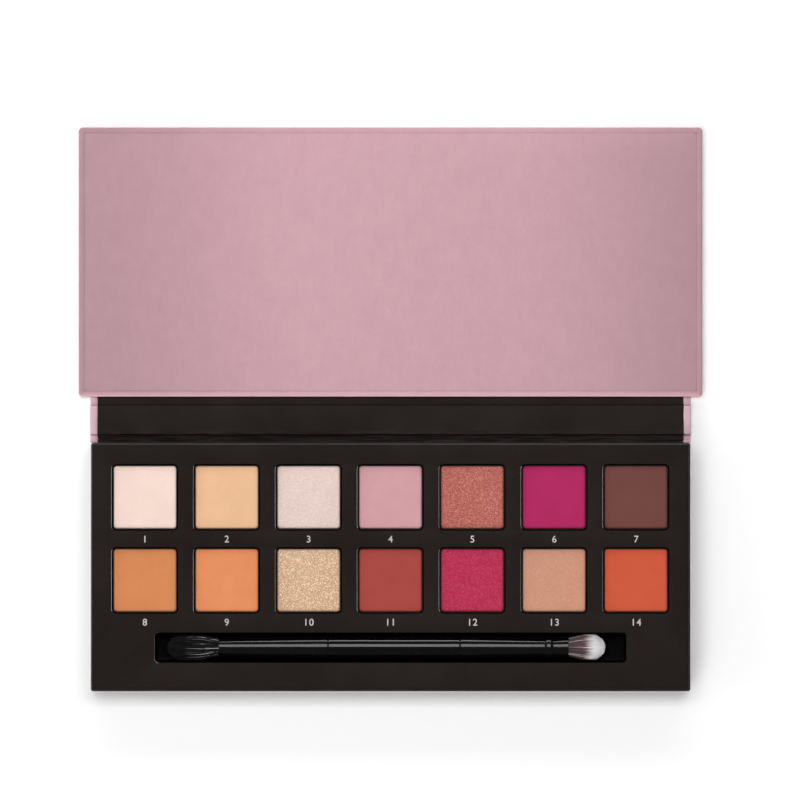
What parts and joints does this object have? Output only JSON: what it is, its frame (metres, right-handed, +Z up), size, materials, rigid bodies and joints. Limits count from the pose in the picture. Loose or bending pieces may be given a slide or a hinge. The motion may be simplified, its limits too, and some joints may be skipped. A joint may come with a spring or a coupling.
{
  "type": "eyeshadow palette",
  "caption": "Cloth-covered hardback eyeshadow palette lying open, with a black tray of square pressed-powder pans, a hinge strip, a folding cover and a double-ended brush in a groove.",
  "frame": {"origin": "centre of the open palette's footprint, on the surface it lies on", "axes": "+X along the palette, +Y from the tray towards the cover, +Z up"},
  "size_m": [0.198, 0.1788, 0.0097],
  "materials": {
    "velour": "dusty rose short-pile velour",
    "velour_lining": "dusty rose short-pile velour",
    "greyboard": "raw greyboard",
    "black_liner": "matte black lining paper",
    "black_wrap": "board wrapped in matte black paper",
    "black_bed": "die-cut black board",
    "black_plastic": "thermoformed black plastic",
    "black_card": "matte printed card",
    "steel": "plain plated",
    "tin_pan": "black-lacquered pressed tin, satin",
    "black_lacquer": "high-gloss black lacquer",
    "black_ferrule": "gloss black ferrule",
    "black_bristle": "soft black fibre",
    "plum_bristle": "plum fibre with white tips",
    "powder_pale_ivory": "pressed powder",
    "powder_peach_cream": "pressed powder",
    "powder_shimmer_blush": "pressed powder",
    "powder_dusty_mauve": "pressed powder",
    "powder_copper_rose": "pressed powder",
    "powder_berry": "pressed powder",
    "powder_cocoa": "pressed powder",
    "powder_caramel": "pressed powder",
    "powder_apricot_clay": "pressed powder",
    "powder_gold_glitter": "pressed powder",
    "powder_brick": "pressed powder",
    "powder_raspberry": "pressed powder",
    "powder_sand_beige": "pressed powder",
    "powder_tangerine": "pressed powder"
  },
  "bodies": {
    "tray": {"base_cloth": "velour", "bottom_board": "greyboard", "tray_wall_front": "black_wrap", "tray_wall_rear": "black_wrap", "tray_wall_left": "black_wrap", "tray_wall_right": "black_wrap", "pan_bed": "black_bed", "front_rail": "black_bed", "groove_end_left": "black_bed", "groove_end_right": "black_bed", "brush_trough": "black_plastic", "face_card": "black_card", "catch_plate_left": "steel", "catch_plate_right": "steel", "pan_01": "tin_pan", "pan_02": "tin_pan", "pan_03": "tin_pan", "pan_04": "tin_pan", "pan_05": "tin_pan", "pan_06": "tin_pan", "pan_07": "tin_pan", "pan_08": "tin_pan", "pan_09": "tin_pan", "pan_10": "tin_pan", "pan_11": "tin_pan", "pan_12": "tin_pan", "pan_13": "tin_pan", "pan_14": "tin_pan", "powder_01": "powder_pale_ivory", "powder_02": "powder_peach_cream", "powder_03": "powder_shimmer_blush", "powder_04": "powder_dusty_mauve", "powder_05": "powder_copper_rose", "powder_06": "powder_berry", "powder_07": "powder_cocoa", "powder_08": "powder_caramel", "powder_09": "powder_apricot_clay", "powder_10": "powder_gold_glitter", "powder_11": "powder_brick", "powder_12": "powder_raspberry", "powder_13": "powder_sand_beige", "powder_14": "powder_tangerine"},
    "spine": {"spine_cloth": "velour", "spine_board": "greyboard", "spine_liner": "black_liner"},
    "lid": {"lid_cloth": "velour", "lid_board": "greyboard", "lid_lining": "velour_lining", "lid_magnet_left": "steel", "lid_magnet_right": "steel"},
    "brush": {"brush_handle": "black_lacquer", "ferrule_left": "black_ferrule", "ferrule_right": "black_ferrule", "bristles_left": "black_bristle", "bristles_right": "plum_bristle"}
  },
  "joints": [
    {"name": "spine_fold", "type": "hinge", "parent": "tray", "child": "spine", "pos_m": [0, -0.00855, 0.00015], "axis": [1, 0, 0], "range_deg": [0, 90]},
    {"name": "lid_fold", "type": "hinge", "parent": "spine", "child": "lid", "pos_m": [0, 0.00355, 0.00015], "axis": [1, 0, 0], "range_deg": [0, 90]},
    {"name": "brush_lift", "type": "slide", "parent": "tray", "child": "brush", "axis": [0, 0, 1], "range_m": [0, 0.03]}
  ]
}
